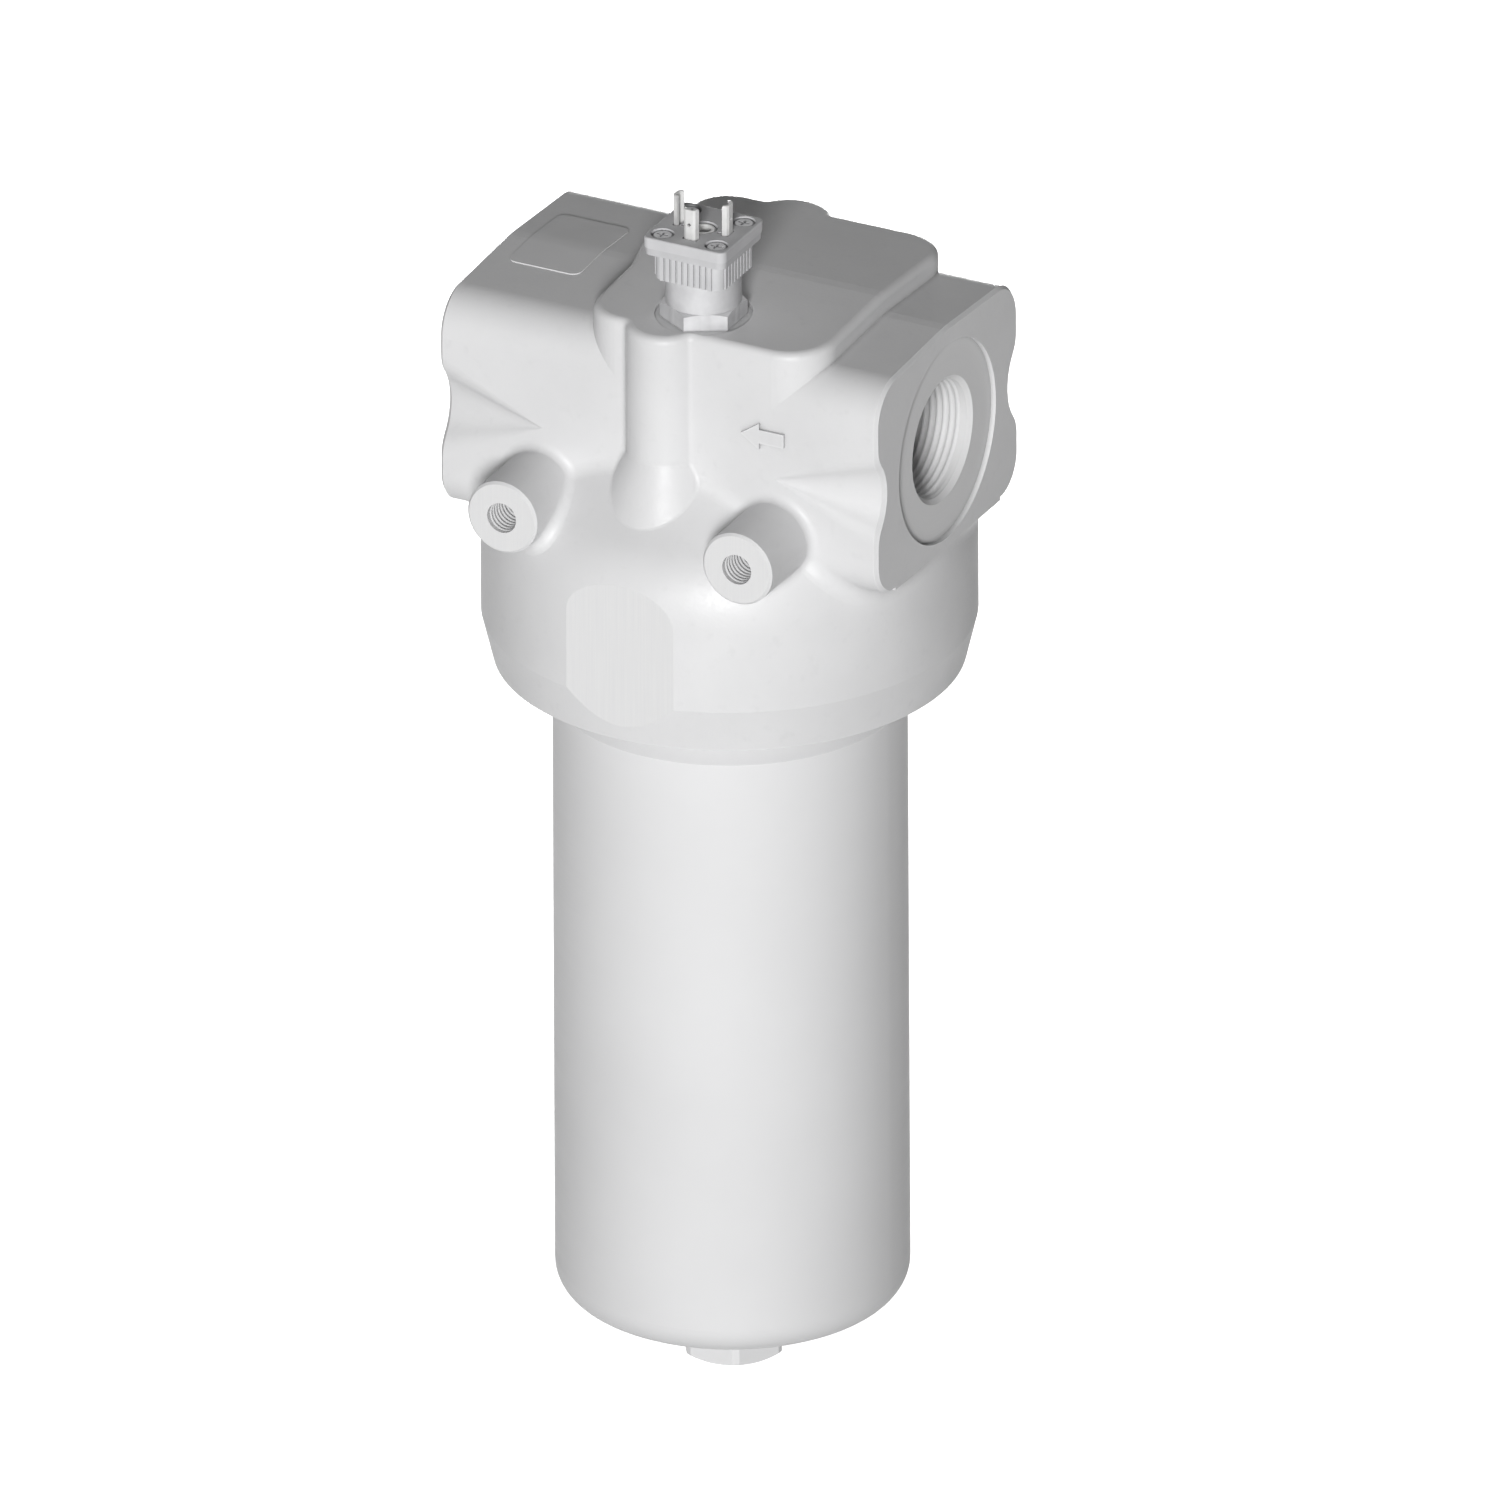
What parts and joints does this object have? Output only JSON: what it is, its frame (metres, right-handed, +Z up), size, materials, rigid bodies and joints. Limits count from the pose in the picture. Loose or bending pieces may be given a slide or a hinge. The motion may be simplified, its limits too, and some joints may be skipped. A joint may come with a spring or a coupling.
{
  "type": "hydraulic pressure filter",
  "caption": "High-pressure inline oil filter: cast head with two threaded ports and mounting bosses, screwed-on steel bowl with hexagon, electric clogging indicator on top.",
  "frame": {"origin": "middle between the two mounting bosses' threaded holes, on the bosses' faces", "axes": "+Z up along the bowl's axis towards the indicator; -Y out of the mounting face, towards what the filter is bolted to; +X out of the inlet port"},
  "size_m": [0.1566, 0.1543, 0.4173],
  "materials": {
    "head_casting": "sand-cast, shot-blasted and phosphated light grey",
    "bowl_steel": "turned and phosphated, satin",
    "indicator_metal": "turned, zinc plated",
    "moulded_grey": "moulded, fine satin",
    "gasket_rubber": "matt moulded",
    "contact_metal": "tinned",
    "screw_steel": "zinc plated",
    "seal_rubber": "smooth matt",
    "backup_plastic": "turned, smooth",
    "turned_steel": "turned",
    "cap_metal": "zinc-plated sheet, pressed",
    "filter_fabric": "glass-fibre fleece, pleated",
    "spring_steel": "drawn wire, bright",
    "switch_glass": "clear, slightly green"
  },
  "bodies": {
    "head": {"filter_head": "head_casting", "indicator_body": "indicator_metal", "indicator_housing": "moulded_grey", "plug_gasket": "gasket_rubber", "connector_base": "moulded_grey", "line_contact_left": "contact_metal", "line_contact_right": "contact_metal", "earth_contact": "contact_metal", "plate_screws": "screw_steel", "centre_insert": "contact_metal", "element_spigot": "turned_steel", "element_top_cap": "cap_metal", "element_bottom_cap": "cap_metal", "pleated_media": "filter_fabric", "core_tube": "cap_metal", "element_o_ring": "seal_rubber", "bypass_seat": "turned_steel", "bypass_cage": "turned_steel", "bypass_spring": "spring_steel", "indicator_o_ring": "seal_rubber", "indicator_spring": "spring_steel", "reed_switch": "switch_glass"},
    "bowl_seals": {"bowl_o_ring": "seal_rubber", "bowl_backup_ring": "backup_plastic"},
    "bowl": {"filter_bowl": "bowl_steel"},
    "bypass_poppet": {"bypass_poppet": "turned_steel"},
    "indicator_piston": {"indicator_piston": "turned_steel", "indicator_magnet": "spring_steel"}
  },
  "joints": [
    {"name": "bowl_travel", "type": "slide", "parent": "head", "child": "bowl_seals", "axis": [0, 0, -1], "range_m": [0, 0.024]},
    {"name": "bowl_turn", "type": "hinge", "parent": "bowl_seals", "child": "bowl", "pos_m": [0, 0.076, -0.15], "axis": [0, 0, -1], "range_deg": [0, 4320]},
    {"name": "bypass_lift", "type": "slide", "parent": "head", "child": "bypass_poppet", "axis": [0, 0, 1], "range_m": [0, 0.004], "stiffness_N_per_m": 8000, "springref_m": -0.006, "deforming": ["bypass_spring"]},
    {"name": "indicator_lift", "type": "slide", "parent": "head", "child": "indicator_piston", "axis": [0, 0, 1], "range_m": [0, 0.0025], "stiffness_N_per_m": 8500, "springref_m": -0.0015, "deforming": ["indicator_spring"]}
  ],
  "couplings": [
    {"joint": "bowl_travel", "follows": "bowl_turn", "m_per_rad": 0.0003183}
  ]
}
